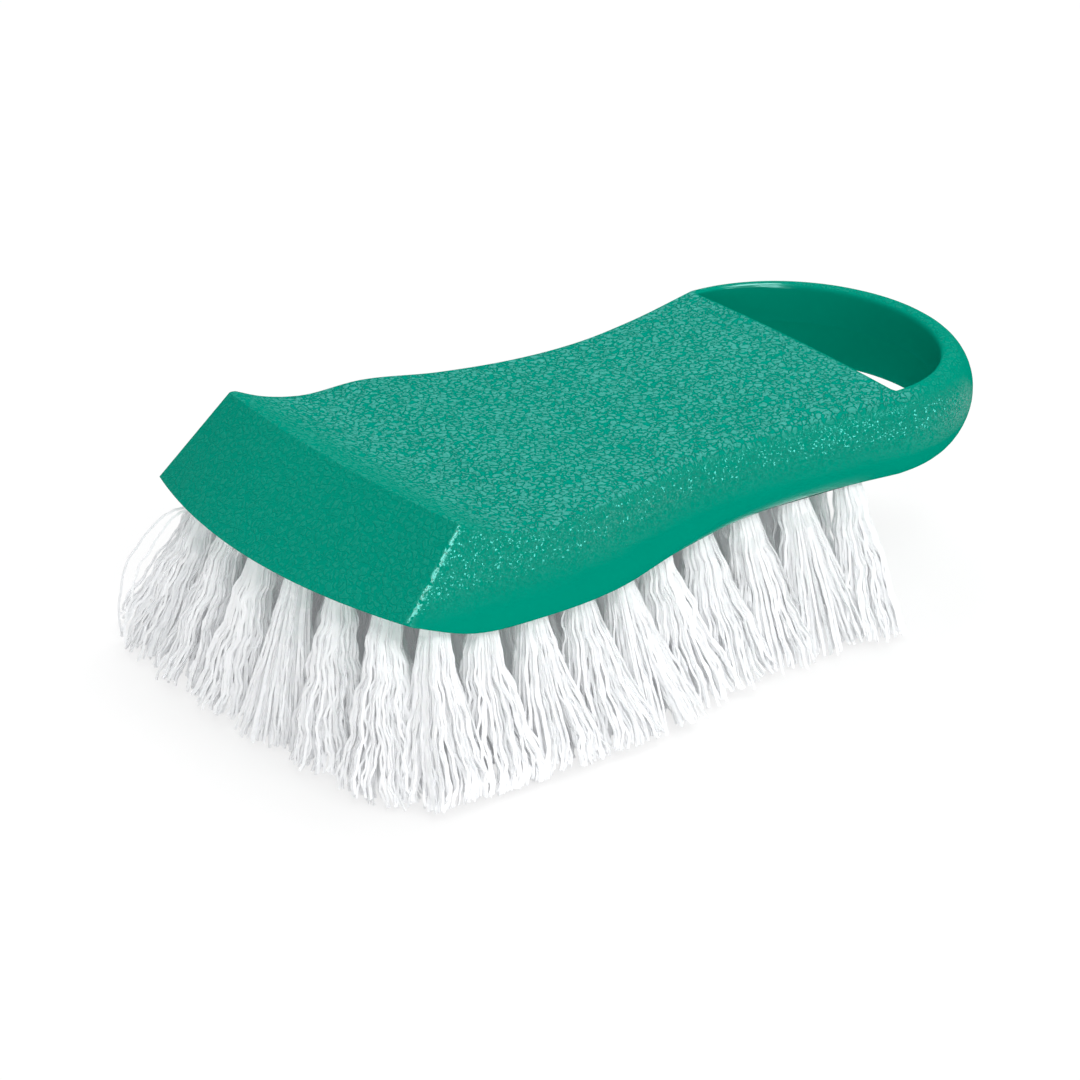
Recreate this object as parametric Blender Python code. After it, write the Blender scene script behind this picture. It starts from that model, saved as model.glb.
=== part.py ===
"""Cutting board brush: a moulded block with a hanging loop and crimped filament tufts in its sockets.

x runs from the nose to the loop, y across and z up. The filament tips stand on z = 0, and the
finished brush is moved so that the middle of its length is over the origin.
"""

import math

import bmesh
import bpy
import numpy as np
from mathutils import Vector

# Block
BODY_LENGTH = 0.0956          # ridge corners to the straight front wall of the hanging hole
HALF_WIDTH = 0.0373           # widest half width, at the rim behind the nose
BLOCK_HEIGHT = 0.0155         # underside to top at the loop
NOSE_OVERHANG = 0.0131        # lower nose corners ahead of the ridge corners
NOSE_BOW = 0.0062             # forward bow of the nose's lower edge
RIDGE_BOW = 0.0019            # forward bow of the ridge
CROWN = 0.0006                # rise of the palm face at its middle
NOSE_EDGE = 0.0008            # rounding of the crisp edges of the front half
RIM_EDGE = 0.0005             # rounding of the lower rim of the front half

# Hanging loop
LOOP_REACH = 0.0309           # front wall of the hole to the loop's far end
LOOP_END_RIM = 0.0068         # radial thickness of the loop at its far end
LOOP_SIDE_RIM = 0.0047        # radial thickness of the loop where it leaves the block
HOLE_EDGE = 0.0003            # rounding of the hole's edge at its front wall
LOOP_INNER_EDGE = 0.0012      # rounding of the hole's edge at the loop's far end

# Sockets and tufts
TRIM = 0.0250                 # free filament length under the block
SOCKET_RADIUS = 0.0025
SOCKET_DEPTH = 0.0080
NOSE_SOCKET_DEPTH = 0.0050    # the first row's sockets lie in the thin nose
FIT_CLEARANCE = 0.0003        # all round a tuft's root in its socket
ROOT_SHOW = 0.0004            # how far a root stands out of its socket
RIM_MARGIN = 0.0048           # rim to the axis of the outer sockets
NOSE_MARGIN = 0.0070          # nose's lower edge to the axes of the first row
SIDE_LEAN = 0.0075            # outward lean of the outer tufts over the trim
NOSE_LEAN = 0.0085            # forward lean of the first row over the trim
HEEL_LEAN = 0.0010            # backward lean of the last row over the trim
STRAND_TIP = 0.0010           # half size of a strand's flat tip
CRIMP = 0.0011                # sideways wave of the strands
OVERRUN = 0.0020              # how far the socket cutters run out of the block

# Shares along the top and along the rim, nose first, each with its places as shares of that length
TOP_PLACE_SHARES = (0.0, 0.07, 0.15, 0.28, 0.42, 0.56, 0.70, 0.84, 1.0)
TOP_WIDTH_SHARES = (0.893, 0.906, 0.909, 0.879, 0.778, 0.678, 0.657, 0.690, 0.770)
TOP_HEIGHT_SHARES = (1.220, 1.026, 0.903, 0.916, 0.870, 0.885, 0.893, 0.930, 0.982)
RIM_PLACE_SHARES = (0.0, 0.12, 0.25, 0.40, 0.55, 0.70, 0.85, 1.0)
RIM_WIDTH_SHARES = (0.992, 1.0, 0.997, 0.933, 0.815, 0.760, 0.790, 0.8606)
RIM_HEIGHT_SHARES = (0.335, 0.026, -0.045, -0.090, -0.060, -0.030, -0.010, 0.010)
SHOULDER_START_SHARE = 0.20   # the shoulder's rounding grows between these two places
SHOULDER_END_SHARE = 0.65
LOWER_START_SHARE = 0.45      # and the lower edge's between these two
LOWER_END_SHARE = 0.95
BOW_FADE_SHARE = 0.35         # the nose's bow is gone at this place
ROUND_WIDTH_SHARE = 0.72      # of the loop's rim is taken by its outer rounding
ROUND_HEIGHT_SHARE = 0.46     # of the block's height is taken by each rounding
INNER_EDGE_LIMIT_SHARE = 0.24 # most of the loop's rim that its inner rounding may take
ROUND_POWER = 1.7             # 2 is an ellipse, lower is flatter

# Tuft field: tufts in each row, nose first, and where the rows after the first lie on the rim
TUFT_COUNTS = (6, 6, 7, 6, 5, 6, 5, 4, 5, 4, 5)
ROW_PLACE_SHARES = (0.078, 0.163, 0.255, 0.352, 0.442, 0.535, 0.632, 0.730, 0.828, 0.926)
FIRST_ROW_SPAN_SHARE = 0.80   # of the span of the second row
FAN_SHARE = 0.46              # of the distance to the nearest neighbour's tip
INNER_STRAND_SHARE = 0.50     # strands end by turns near the fan's edge and this far out
STRAND_TAPER_SHARE = 0.95     # a strand's size half way down, of its size at the root
FRAME_SHARE = 0.11            # gap between strands at the root, of the root's radius
ROW_PHASE = 2.4               # turns the strands' wave from row to row, in radians
PLACE_PHASE = 1.3             # and from the middle of a row outwards

# Mesh counts
STATIONS = 26
ACROSS = 12
ARC_STEPS = 5
WALL_STEPS = 2
LOOP_STEPS = 30
HOLE_WALL_STEPS = 3
STRANDS = 7
HALVINGS = 40

GREEN = (0.0, 0.25, 0.175, 1.0)
FILAMENT_WHITE = (0.86, 0.87, 0.88, 1.0)


def clear_scene():
    """Remove the objects that are in the scene."""
    for scene_object in list(bpy.data.objects):
        bpy.data.objects.remove(scene_object, do_unlink=True)


def plain_material(name, colour, roughness):
    """Make a Principled BSDF material."""
    material = bpy.data.materials.new(name)
    material.use_nodes = True
    shader = material.node_tree.nodes["Principled BSDF"]
    shader.inputs["Base Color"].default_value = colour
    shader.inputs["Roughness"].default_value = roughness
    shader.inputs["Metallic"].default_value = 0.0
    material.diffuse_color = colour
    return material


def through(places, values, place):
    """Read a smooth curve through the given values at one place."""
    slopes = np.gradient(np.array(values), np.array(places))
    index = int(np.clip(np.searchsorted(places, place) - 1, 0, len(places) - 2))
    span = places[index + 1] - places[index]
    step = (place - places[index]) / span
    rise = values[index + 1] - values[index]
    bend_in = slopes[index] * span - rise
    bend_out = rise - slopes[index + 1] * span
    wave = step * (1 - step) * (bend_in * (1 - step) + bend_out * step)
    return values[index] + rise * step + wave


def grow(start, end, place):
    """Rise smoothly from 0 at start to 1 at end."""
    step = min(max((place - start) / (end - start), 0.0), 1.0)
    return step * step * (3 - 2 * step)


def mix(first, second, share):
    """Blend two values or points."""
    return first + (second - first) * share


def top_height(place):
    """Height of the palm face's edge."""
    return TRIM + BLOCK_HEIGHT * through(TOP_PLACE_SHARES, TOP_HEIGHT_SHARES, place)


def rim_height(place):
    """Height of the underside."""
    return TRIM + BLOCK_HEIGHT * through(RIM_PLACE_SHARES, RIM_HEIGHT_SHARES, place)


def rim_width(place):
    """Half width of the side wall at its foot."""
    return HALF_WIDTH * through(RIM_PLACE_SHARES, RIM_WIDTH_SHARES, place)


def top_width(place):
    """Half width of the palm face."""
    return HALF_WIDTH * through(TOP_PLACE_SHARES, TOP_WIDTH_SHARES, place)


def bow_left(place):
    """What is left of the nose's bow at one place."""
    return 1 - grow(0.0, BOW_FADE_SHARE, place)


def top_x(place, across):
    """Where a point of the palm face lies along the brush."""
    return BODY_LENGTH * place - RIDGE_BOW * (1 - across * across) * bow_left(place)


def rim_x(place, across):
    """Where a point of the underside lies along the brush."""
    straight = mix(-NOSE_OVERHANG, BODY_LENGTH, place)
    return straight - NOSE_BOW * (1 - across * across) * bow_left(place)


def quarter_round(steps):
    """Inset and drop, both 0 to 1, along a quarter of a flattened ellipse, from its crest down."""
    points = []
    for step in range(1, steps + 1):
        angle = 0.5 * math.pi * step / steps
        out = math.sin(angle) ** (2 / ROUND_POWER)
        down = 1 - math.cos(angle) ** (2 / ROUND_POWER)
        points.append((out, down))
    return points


def side_profile(place):
    """Points (half width, height) down the side wall, between the palm face and the underside."""
    top = top_height(place)
    foot = rim_height(place)
    height = top - foot
    width = top_width(place)
    foot_width = rim_width(place)
    loop_round = ROUND_WIDTH_SHARE * LOOP_SIDE_RIM
    shoulder = grow(SHOULDER_START_SHARE, SHOULDER_END_SHARE, place)
    shoulder_out = mix(NOSE_EDGE, loop_round, shoulder)
    shoulder_down = mix(NOSE_EDGE, ROUND_HEIGHT_SHARE * height, shoulder)
    lower = grow(LOWER_START_SHARE, LOWER_END_SHARE, place)
    lower_in = mix(RIM_EDGE, loop_round, lower)
    lower_up = mix(RIM_EDGE, ROUND_HEIGHT_SHARE * height, lower)
    points = [(width, top)]
    for out, down in quarter_round(ARC_STEPS):
        points.append((width + shoulder_out * out, top - shoulder_down * down))
    wall_top = points[-1]
    wall_foot = (foot_width, foot + lower_up)
    for step in range(1, WALL_STEPS + 1):
        share = step / WALL_STEPS
        points.append((mix(wall_top[0], wall_foot[0], share), mix(wall_top[1], wall_foot[1], share)))
    for out, down in reversed(quarter_round(ARC_STEPS)[:-1]):
        points.append((foot_width - lower_in * (1 - out), foot + lower_up * down))
    points.append((foot_width - lower_in, foot))
    return points


def across_shares(place, corner_share):
    """Places across the block from -1 to 1, drawn out to the hole's corners at the last station."""
    even = [2 * step / ACROSS - 1 for step in range(ACROSS + 1)]
    drawn = [-1.0] + [corner_share * (2 * step / (ACROSS - 2) - 1) for step in range(ACROSS - 1)] + [1.0]
    return [mix(a, b, place ** 3) for a, b in zip(even, drawn)]


def loop_sizes():
    """Outer and inner half axes of the loop: outer reach, outer width, inner reach, inner width."""
    outer_width = rim_width(1.0)
    return LOOP_REACH, outer_width, LOOP_REACH - LOOP_END_RIM, outer_width - LOOP_SIDE_RIM


def loop_point(angle, share, height):
    """A point of the loop: share 0 is the hole's wall, 1 the loop's outside."""
    outer_reach, outer_width, inner_reach, inner_width = loop_sizes()
    reach = mix(inner_reach, outer_reach, share)
    width = mix(inner_width, outer_width, share)
    return Vector((BODY_LENGTH + reach * math.cos(angle), width * math.sin(angle), height))


def inner_edge_share(angle):
    """Share of the rim that the hole's rounded edge takes, and its depth."""
    rim = mix(LOOP_SIDE_RIM, LOOP_END_RIM, math.cos(angle) ** 2)
    depth = mix(HOLE_EDGE, LOOP_INNER_EDGE, max(math.cos(angle), 0.0))
    share = min(depth / rim, INNER_EDGE_LIMIT_SHARE)
    return share, share * rim


def loop_section(angle):
    """One closed section of the loop, from its crest over the outside and back up the hole's wall."""
    top = top_height(1.0)
    foot = rim_height(1.0)
    crest_share = 1 - ROUND_WIDTH_SHARE
    crest_width = top_width(1.0)
    outer_width = rim_width(1.0)
    inner_width = outer_width - LOOP_SIDE_RIM
    points = []
    for width, height in side_profile(1.0):
        points.append(loop_point(angle, (width - inner_width) / (outer_width - inner_width), height))
    points[0] = loop_point(angle, (crest_width - inner_width) / LOOP_SIDE_RIM, top)
    points[-1] = loop_point(angle, crest_share, foot)
    share, depth = inner_edge_share(angle)
    half = 1 - math.sqrt(0.5)
    points.append(loop_point(angle, share, foot))
    points.append(loop_point(angle, share * half, foot + depth * half))
    for step in range(HOLE_WALL_STEPS + 1):
        points.append(loop_point(angle, 0.0, mix(foot + depth, top - depth, step / HOLE_WALL_STEPS)))
    points.append(loop_point(angle, share * half, top - depth * half))
    points.append(loop_point(angle, share, top))
    return points


def body_section(place):
    """One closed section of the block: palm face, right side, underside, left side."""
    profile = side_profile(place)
    top = top_height(place)
    foot = rim_height(place)
    outer_reach, outer_width, inner_reach, inner_width = loop_sizes()
    hole_corner = inner_width + inner_edge_share(0.5 * math.pi)[1]
    palm = []
    for across in across_shares(place, hole_corner / top_width(1.0)):
        rise = CROWN * (1 - across * across) * grow(0.0, SHOULDER_START_SHARE, place)
        palm.append(Vector((top_x(place, across), profile[0][0] * across, top + rise)))
    under = []
    for across in across_shares(place, hole_corner / profile[-1][0]):
        under.append(Vector((rim_x(place, across), profile[-1][0] * across, foot)))
    sides = {}
    for hand in (1, -1):
        wall = []
        for width, height in profile[1:-1]:
            x = mix(rim_x(place, 1.0), top_x(place, 1.0), (height - foot) / (top - foot))
            wall.append(Vector((x, width * hand, height)))
        sides[hand] = wall
    return palm, sides[1], under, sides[-1]


def skin(mesh, first, second, closed):
    """Join two rows of vertices with faces."""
    count = len(first)
    for index in range(count if closed else count - 1):
        after = (index + 1) % count
        mesh.faces.new((first[index], first[after], second[after], second[index]))


def skin_all(mesh, rows, closed):
    """Join each row of vertices to the next with faces."""
    for first, second in zip(rows, rows[1:]):
        skin(mesh, first, second, closed)


def add_sections(mesh):
    """Add the block's sections and skin them, and return the four chains of each."""
    sections = []
    for station in range(STATIONS + 1):
        chains = body_section(station / STATIONS)
        if station == STATIONS:
            for point in chains[0][2:-2] + chains[2][2:-2]:
                point.x -= HOLE_EDGE
        sections.append([[mesh.verts.new(point) for point in chain] for chain in chains])
    rings = [palm + right + under[::-1] + left[::-1] for palm, right, under, left in sections]
    skin_all(mesh, rings, True)
    return sections


def add_nose(mesh, section):
    """Close the nose with a ruled face, whose ends are the front vertices of the side walls."""
    palm, right, under, left = section
    top = palm[0].co.z
    foot = under[0].co.z
    rows = [palm]
    for right_end, left_end in zip(right, left):
        share = (top - right_end.co.z) / (top - foot)
        row = [mesh.verts.new(mix(a.co, b.co, share)) for a, b in zip(palm[1:-1], under[1:-1])]
        rows.append([left_end] + row + [right_end])
    rows.append(under)
    skin_all(mesh, rows, False)


def add_loop(mesh, section):
    """Skin the loop from one end of the last section to the other, and return the hole's corners."""
    palm, right, under, left = section
    first_inner = len(right) + 3
    ends = {0: (palm, right, under), LOOP_STEPS: (palm[::-1], left, under[::-1])}
    rings = []
    for step in range(LOOP_STEPS + 1):
        points = loop_section(math.pi * (0.5 - step / LOOP_STEPS))
        if step in ends:
            top, wall, foot = ends[step]
            inner = [mesh.verts.new(point) for point in points[first_inner:-1]]
            rings.append([top[-1]] + wall + [foot[-1], foot[-2]] + inner + [top[-2]])
        else:
            rings.append([mesh.verts.new(point) for point in points])
    skin_all(mesh, rings, True)
    return rings[-1][first_inner:-1], rings[0][first_inner:-1]


def add_hole_front(mesh, section, corners):
    """Close the hole's straight front wall, with a small rounding above and below."""
    palm, _, under, _ = section
    left_corner, right_corner = corners
    rounded = (left_corner[0], left_corner[-1])
    rows = [under[1:-1]]
    for left_end, right_end in zip(left_corner, right_corner):
        x = BODY_LENGTH
        if left_end in rounded:
            x -= HOLE_EDGE * (1 - math.sqrt(0.5))
        row = [mesh.verts.new((x, vertex.co.y, left_end.co.z)) for vertex in under[2:-2]]
        rows.append([left_end] + row + [right_end])
    rows.append(palm[1:-1])
    skin_all(mesh, rows, False)


def block_mesh():
    """Skin the block: its sections, its nose, the loop's sections and the hole's front wall."""
    mesh = bmesh.new()
    sections = add_sections(mesh)
    add_nose(mesh, sections[0])
    corners = add_loop(mesh, sections[-1])
    add_hole_front(mesh, sections[-1], corners)
    bmesh.ops.recalc_face_normals(mesh, faces=mesh.faces)
    return mesh


def outer_limit(place):
    """Half width of the underside that the outer sockets keep their margin to."""
    rounding = 0.5 * ROUND_WIDTH_SHARE * LOOP_SIDE_RIM
    return rim_width(place) - rounding * grow(LOWER_START_SHARE, LOWER_END_SHARE, place)


def underside_place(x, across):
    """Find the place along the rim whose underside lies at x, by halving."""
    low = 0.0
    high = 1.0
    for _ in range(HALVINGS):
        middle = 0.5 * (low + high)
        if rim_x(middle, across) < x:
            low = middle
        else:
            high = middle
    return low


def tuft_places():
    """Rows of tufts, each with the point where it leaves the underside and the middle of its tips."""
    second_span = outer_limit(ROW_PLACE_SHARES[0]) - RIM_MARGIN
    rows = []
    for row, count in enumerate(TUFT_COUNTS):
        tufts = []
        for number in range(count):
            side = 2 * number / (count - 1) - 1
            if row == 0:
                along = 0.0
                y = FIRST_ROW_SPAN_SHARE * second_span * side
                x = rim_x(0.0, y / rim_width(0.0)) + NOSE_MARGIN
            else:
                along = ROW_PLACE_SHARES[row - 1]
                y = (outer_limit(along) - RIM_MARGIN) * side
                x = rim_x(along, 1.0)
            place = underside_place(x, y / rim_width(along))
            root = Vector((x, y, rim_height(place)))
            lean_x = HEEL_LEAN * along ** 2 - NOSE_LEAN * (1 - along) ** 3
            lean_y = SIDE_LEAN * y / (rim_width(along) - RIM_MARGIN)
            tufts.append((root, Vector((x + lean_x, y + lean_y, 0.0))))
        rows.append(tufts)
    return rows


def fan_radii(rows):
    """Each tuft's reach at its tips, from the distance to its nearest neighbour."""
    middles = [tips for tufts in rows for _, tips in tufts]
    radii = []
    for middle in middles:
        nearest = min((middle - other).length for other in middles if other is not middle)
        radii.append(FAN_SHARE * nearest)
    return radii


def mirror_hand(root):
    """Tufts left of the middle are made the other way round, so that the brush is symmetrical."""
    return 1 if root.y >= 0 else -1


def add_prism(mesh, centre, axis, radius, length, hand):
    """Add a prism with one side for each strand, from a centre along an axis; return its first face."""
    turn = Vector((0, 0, 1)).rotation_difference(axis)
    corners = []
    for number in range(STRANDS):
        angle = hand * math.pi * (2 * number + 1) / STRANDS
        corners.append(centre + turn @ Vector((radius * math.cos(angle), radius * math.sin(angle), 0)))
    start = mesh.faces.new([mesh.verts.new(corner) for corner in corners])
    moved = bmesh.ops.extrude_face_region(mesh, geom=[start])["geom"]
    far = [item for item in moved if isinstance(item, bmesh.types.BMVert)]
    bmesh.ops.translate(mesh, verts=far, vec=axis * length)
    return start


def socket_depth(row):
    """Depth of a row's sockets."""
    return NOSE_SOCKET_DEPTH if row == 0 else SOCKET_DEPTH


def socket_cutter(rows):
    """One cutter that holds a slanted prism for each socket."""
    mesh = bmesh.new()
    for row, tufts in enumerate(rows):
        for root, tips in tufts:
            axis = (root - tips).normalized()
            length = OVERRUN + socket_depth(row)
            add_prism(mesh, root - axis * OVERRUN, axis, SOCKET_RADIUS, length, mirror_hand(root))
    bmesh.ops.recalc_face_normals(mesh, faces=mesh.faces)
    return mesh


def draw_out(mesh, face, centre, size_share):
    """Extrude a face to a new centre and size."""
    start = face.calc_center_median()
    face = bmesh.ops.extrude_discrete_faces(mesh, faces=[face])["faces"][0]
    for vertex in face.verts:
        vertex.co = centre + (vertex.co - start) * size_share
    return face


def tuft_mesh(root, tips, depth, fan, wave):
    """A tuft about its root: the folded root in the socket, and the strands that fan out below."""
    mesh = bmesh.new()
    axis = (root - tips).normalized()
    hand = mirror_hand(root)
    radius = SOCKET_RADIUS - FIT_CLEARANCE
    foot = -axis * ROOT_SHOW
    end = add_prism(mesh, foot, axis, radius, ROOT_SHOW + depth - FIT_CLEARANCE, hand)
    wedges = bmesh.ops.poke(mesh, faces=[end])["faces"]
    bmesh.ops.inset_individual(mesh, faces=wedges, thickness=FRAME_SHARE * radius, use_even_offset=True)
    starts = {wedge: wedge.calc_center_median() - foot for wedge in wedges}
    wedges.sort(key=lambda wedge: math.atan2(hand * starts[wedge].y, starts[wedge].x))
    for number, wedge in enumerate(wedges):
        bearing = Vector((starts[wedge].x, starts[wedge].y, 0)).normalized()
        across = hand * Vector((-bearing.y, bearing.x, 0))
        out_share = INNER_STRAND_SHARE if number % 2 else 1.0
        finish = tips - root + bearing * (fan - STRAND_TIP) * out_share
        middle = mix(starts[wedge] + foot, finish, 0.5) + across * wave
        face = draw_out(mesh, wedge, middle, STRAND_TAPER_SHARE)
        face = draw_out(mesh, face, finish, 1.0)
        for vertex in face.verts:
            corner = vertex.co - finish
            corner.z = 0
            vertex.co = finish + corner.normalized() * STRAND_TIP
    bmesh.ops.recalc_face_normals(mesh, faces=mesh.faces)
    return mesh


def add_object(name, mesh, material, parent):
    """Turn a bmesh into an object with its material."""
    data = bpy.data.meshes.new(name)
    mesh.to_mesh(data)
    mesh.free()
    if material:
        data.materials.append(material)
    new_object = bpy.data.objects.new(name, data)
    bpy.context.collection.objects.link(new_object)
    new_object.parent = parent
    return new_object


def build():
    """Build the brush under one empty."""
    clear_scene()
    block_plastic = plain_material("block_plastic", GREEN, 0.38)
    filament = plain_material("filament", FILAMENT_WHITE, 0.35)
    brush = bpy.data.objects.new("brush", None)
    bpy.context.collection.objects.link(brush)

    rows = tuft_places()
    block = add_object("block", block_mesh(), block_plastic, brush)
    block.data.shade_smooth()
    block.data.set_sharp_from_angle(angle=math.radians(35))
    cutter = add_object("socket_cutter", socket_cutter(rows), None, brush)
    cutter.hide_render = True
    cutter.display_type = "WIRE"
    sockets = block.modifiers.new("sockets", "BOOLEAN")
    sockets.operation = "DIFFERENCE"
    sockets.solver = "EXACT"
    sockets.object = cutter

    radii = iter(fan_radii(rows))
    front = BODY_LENGTH
    for row, tufts in enumerate(rows):
        for number, (root, tips) in enumerate(tufts):
            place_from_middle = abs(2 * number - len(tufts) + 1)
            wave = CRIMP * math.sin(ROW_PHASE * row + PLACE_PHASE * place_from_middle)
            mesh = tuft_mesh(root, tips, socket_depth(row), next(radii), wave)
            tuft = add_object(f"tuft_{row + 1:02d}_{number + 1}", mesh, filament, brush)
            tuft.location = root
            front = min(front, min(root.x + vertex.co.x for vertex in tuft.data.vertices))
    brush.location.x = -0.5 * (front + BODY_LENGTH + LOOP_REACH)


build()
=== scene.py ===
"""Looks of the cutting board brush: its moulded block, its crimped filaments and the studio round them.

Every length is in metres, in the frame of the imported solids: x runs from the nose to the hanging loop,
y across the brush and z up. The block is laid from sheets that follow its sections. Each tuft is a
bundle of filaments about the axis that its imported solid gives.
"""

import logging
import math
from dataclasses import dataclass, field
from enum import Enum

import bpy
import numpy as np
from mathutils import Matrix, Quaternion, Vector


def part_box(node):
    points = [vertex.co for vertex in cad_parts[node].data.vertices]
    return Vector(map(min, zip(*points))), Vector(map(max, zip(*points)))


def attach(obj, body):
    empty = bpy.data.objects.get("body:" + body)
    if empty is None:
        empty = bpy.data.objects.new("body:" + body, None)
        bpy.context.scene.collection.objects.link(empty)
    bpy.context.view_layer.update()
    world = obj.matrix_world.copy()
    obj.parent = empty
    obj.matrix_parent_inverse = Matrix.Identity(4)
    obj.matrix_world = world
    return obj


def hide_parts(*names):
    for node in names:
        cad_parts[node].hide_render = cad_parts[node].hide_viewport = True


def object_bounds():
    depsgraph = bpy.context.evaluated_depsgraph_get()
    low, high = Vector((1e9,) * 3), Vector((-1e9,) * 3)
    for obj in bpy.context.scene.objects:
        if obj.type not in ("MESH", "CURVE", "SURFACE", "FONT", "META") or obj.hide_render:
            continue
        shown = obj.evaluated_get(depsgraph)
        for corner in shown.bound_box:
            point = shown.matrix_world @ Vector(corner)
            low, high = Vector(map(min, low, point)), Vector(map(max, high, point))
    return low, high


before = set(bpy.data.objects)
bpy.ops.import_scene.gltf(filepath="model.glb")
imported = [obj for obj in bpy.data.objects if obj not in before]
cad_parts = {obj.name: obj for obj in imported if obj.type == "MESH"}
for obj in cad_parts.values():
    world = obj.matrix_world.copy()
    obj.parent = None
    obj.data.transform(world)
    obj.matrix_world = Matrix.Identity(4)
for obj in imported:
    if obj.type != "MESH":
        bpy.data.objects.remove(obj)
CAD_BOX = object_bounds()

ROOT_BODY = "root"
LAYERS = ("crease", "facet", "edge", "sheen")
TOP_PLACES = (0.0, 0.07, 0.15, 0.28, 0.42, 0.56, 0.70, 0.84, 1.0)
RIM_PLACES = (0.0, 0.12, 0.25, 0.40, 0.55, 0.70, 0.85, 1.0)
Piece = bpy.types.Object
Socket = bpy.types.NodeSocket
log = logging.getLogger("brush")


class Side(Enum):
    """The two sides of the brush, with the sign of their y."""

    RIGHT = 1
    LEFT = -1


class Softbox(Enum):
    """The studio's softboxes, by what they light."""

    KEY = "key"
    TOP = "top"
    NOSE = "nose"
    FRONT = "front"


def mix(first: float, second: float, share: float) -> float:
    """Blend two numbers."""
    return first + (second - first) * share


def grow(start: float, end: float, place: float) -> float:
    """Rise smoothly from 0 at start to 1 at end."""
    step = min(max((place - start) / (end - start), 0.0), 1.0)
    return step * step * (3 - 2 * step)


def rise(values: np.ndarray, start: float, run: float) -> np.ndarray:
    """Rise evenly from 0 at start to 1 one run further on."""
    return np.clip((values - start) / run, 0, 1)


def deselect() -> None:
    """Deselect every object, so that the next operator acts on its own piece alone."""
    bpy.ops.object.select_all(action="DESELECT")


def make_active(piece: Piece) -> None:
    """Select one object alone and make it the active one.

    Args:
        piece: The object that the next operators act on.
    """
    deselect()
    piece.select_set(True)
    bpy.context.view_layer.objects.active = piece


def coordinates(piece: Piece) -> np.ndarray:
    """Read a mesh's corners.

    Args:
        piece: A mesh object.

    Returns:
        An array with one row of x, y and z for each corner.
    """
    points = np.zeros(len(piece.data.vertices) * 3, np.float32)
    piece.data.vertices.foreach_get("co", points)
    return points.reshape(-1, 3).astype(float)


def lay(piece: Piece, points: np.ndarray) -> None:
    """Lay a mesh's corners at new places, one row of x, y and z for each."""
    piece.data.vertices.foreach_set("co", np.asarray(points, np.float32).ravel())
    piece.data.update()


def lay_sheet(rows: list) -> Piece:
    """Add a grid and lay it along rows of points.

    Args:
        rows: Rows of points, all of one length.

    Returns:
        The sheet.
    """
    deselect()
    across = len(rows[0]) - 1
    bpy.ops.mesh.primitive_grid_add(x_subdivisions=across, y_subdivisions=len(rows) - 1, size=1)
    sheet = bpy.context.object
    lay(sheet, np.array([tuple(point) for row in rows for point in row]))
    return sheet


def join(pieces: list, name: str) -> Piece:
    """Join meshes into one piece at the origin, with its own name.

    Args:
        pieces: Mesh objects that lie at the origin.
        name: The joined piece's name.

    Returns:
        The joined piece.
    """
    make_active(pieces[0])
    for piece in pieces[1:]:
        piece.select_set(True)
    bpy.ops.object.join()
    piece = bpy.context.object
    piece.name = name
    piece.data.name = name
    return piece


def close_up(piece: Piece, distance: float) -> None:
    """Merge corners that lie on each other and turn the faces outwards.

    Args:
        piece: A mesh whose sheets meet all round.
        distance: Corners nearer than this become one.
    """
    make_active(piece)
    bpy.ops.object.mode_set(mode="EDIT")
    bpy.ops.mesh.select_all(action="SELECT")
    bpy.ops.mesh.remove_doubles(threshold=distance)
    bpy.ops.mesh.dissolve_degenerate(threshold=distance)
    bpy.ops.mesh.normals_make_consistent(inside=False)
    bpy.ops.object.mode_set(mode="OBJECT")


@dataclass(frozen=True)
class ShareCurve:
    """A smooth curve through shares, at places that are shares of a length."""

    places: tuple[float, ...]
    shares: tuple[float, ...]

    def at(self, place: float) -> float:
        """Read the curve.

        Args:
            place: Where along the length, from 0 to 1.

        Returns:
            The share there.
        """
        slopes = np.gradient(np.array(self.shares), np.array(self.places))
        index = int(np.clip(np.searchsorted(self.places, place) - 1, 0, len(self.places) - 2))
        span = self.places[index + 1] - self.places[index]
        step = (place - self.places[index]) / span
        gain = self.shares[index + 1] - self.shares[index]
        bend_in = slopes[index] * span - gain
        bend_out = gain - slopes[index + 1] * span
        wave = step * (1 - step) * (bend_in * (1 - step) + bend_out * step)
        return self.shares[index] + gain * step + wave


class Signal:
    """A shader socket whose sums and products add the Math nodes that they need."""

    def __init__(self, graph: "Graph", socket: Socket) -> None:
        """Keep the graph and the socket."""
        self.graph = graph
        self.socket = socket

    def _math(self, operation: str, *values: "Signal | float") -> "Signal":
        """Add a Math node and return its result."""
        node = self.graph.node("ShaderNodeMath", {"operation": operation}, dict(enumerate(values)))
        return Signal(self.graph, node.outputs[0])

    def __add__(self, other: "Signal | float") -> "Signal":
        """Sum."""
        return self._math("ADD", self, other)

    __radd__ = __add__

    def __sub__(self, other: "Signal | float") -> "Signal":
        """Difference."""
        return self._math("SUBTRACT", self, other)

    def __rsub__(self, other: "Signal | float") -> "Signal":
        """Difference, the other way round."""
        return self._math("SUBTRACT", other, self)

    def __mul__(self, other: "Signal | float") -> "Signal":
        """Product."""
        return self._math("MULTIPLY", self, other)

    __rmul__ = __mul__

    def least(self, other: "Signal | float") -> "Signal":
        """The smaller of two values."""
        return self._math("MINIMUM", self, other)

    def most(self, other: "Signal | float") -> "Signal":
        """The larger of two values."""
        return self._math("MAXIMUM", self, other)

    def ramp(self, low: float, high: float) -> "Signal":
        """Rise smoothly from 0 at low to 1 at high.

        Args:
            low: Where the rise starts.
            high: Where it ends.

        Returns:
            The smooth step.
        """
        values = {"Value": self, "From Min": low, "From Max": high}
        node = self.graph.node("ShaderNodeMapRange", {"interpolation_type": "SMOOTHSTEP"}, values)
        return Signal(self.graph, node.outputs["Result"])


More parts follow.
